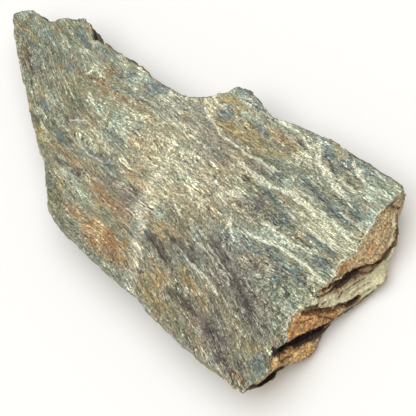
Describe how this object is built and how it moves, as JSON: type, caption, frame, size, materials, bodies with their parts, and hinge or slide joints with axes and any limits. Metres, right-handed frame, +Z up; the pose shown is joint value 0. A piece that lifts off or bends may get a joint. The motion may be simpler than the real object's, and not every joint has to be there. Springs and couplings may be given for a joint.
{
  "type": "polygonal flagstone",
  "caption": "Loose slab of riven schist with a polygonal outline, a narrow tail and a stepped, broken end; lies flat as paving, coping or a landscape stone.",
  "frame": {"origin": "middle of the slab's box in plan, on the surface that it lies on", "axes": "+X along the slab from the narrow tail to the broken end, +Z up out of the riven upper face"},
  "size_m": [0.5836, 0.2534, 0.0466],
  "materials": {
    "schist": "riven cleft face, matt, grey-green and olive with cream streaks and rust-brown broken edges"
  },
  "bodies": {
    "root": {"flagstone": "schist"}
  },
  "joints": []
}
